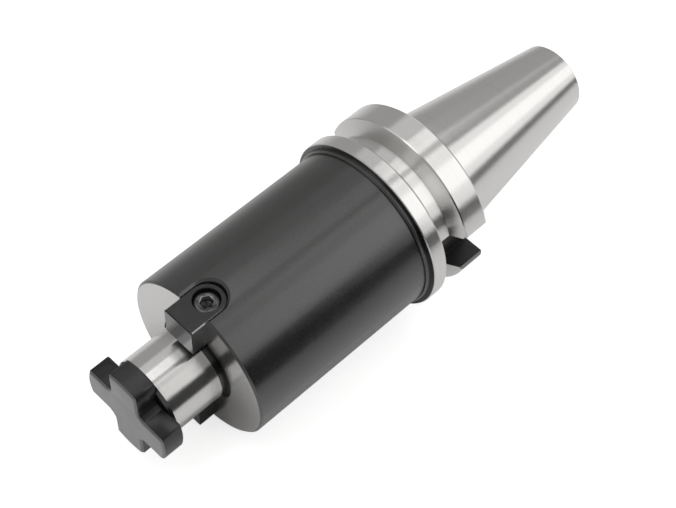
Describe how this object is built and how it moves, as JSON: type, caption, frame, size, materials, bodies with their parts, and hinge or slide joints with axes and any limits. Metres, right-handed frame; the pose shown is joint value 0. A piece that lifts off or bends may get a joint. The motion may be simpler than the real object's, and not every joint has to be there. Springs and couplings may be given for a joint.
{
  "type": "shell mill arbor",
  "caption": "Shell mill arbor with a steep taper shank, grooved flange, cylindrical body, spigot, drive keys and a lobed clamp screw.",
  "frame": {"origin": "on the axis, at the gauge plane where the taper is 44.45 mm across", "axes": "+Z along the axis towards the taper's small end, X through the flange's drive slots, Y through the drive keys"},
  "size_m": [0.063, 0.063, 0.1944],
  "materials": {
    "arbor_steel": "ground bright on the taper, flange, front face and spigot, blackened satin elsewhere",
    "blackened_key": "blackened, satin",
    "blackened_screw": "blackened, satin"
  },
  "bodies": {
    "arbor": {"arbor_body": "arbor_steel"},
    "clamp": {"clamp_screw": "blackened_screw"},
    "key_a": {"drive_key_a": "blackened_key"},
    "key_b": {"drive_key_b": "blackened_key"},
    "screw_a": {"key_screw_a": "blackened_screw"},
    "screw_b": {"key_screw_b": "blackened_screw"}
  },
  "joints": [
    {"name": "clamp_screw_out", "type": "slide", "parent": "arbor", "child": "clamp", "axis": [0, 0, -1], "range_m": [0, 0.06]},
    {"name": "drive_key_a_out", "type": "slide", "parent": "arbor", "child": "key_a", "axis": [0, -1, 0], "range_m": [0, 0.015]},
    {"name": "drive_key_b_out", "type": "slide", "parent": "arbor", "child": "key_b", "axis": [0, 1, 0], "range_m": [0, 0.015]},
    {"name": "key_screw_a_out", "type": "slide", "parent": "key_a", "child": "screw_a", "axis": [0, -1, 0], "range_m": [0, 0.02]},
    {"name": "key_screw_b_out", "type": "slide", "parent": "key_b", "child": "screw_b", "axis": [0, 1, 0], "range_m": [0, 0.02]}
  ]
}
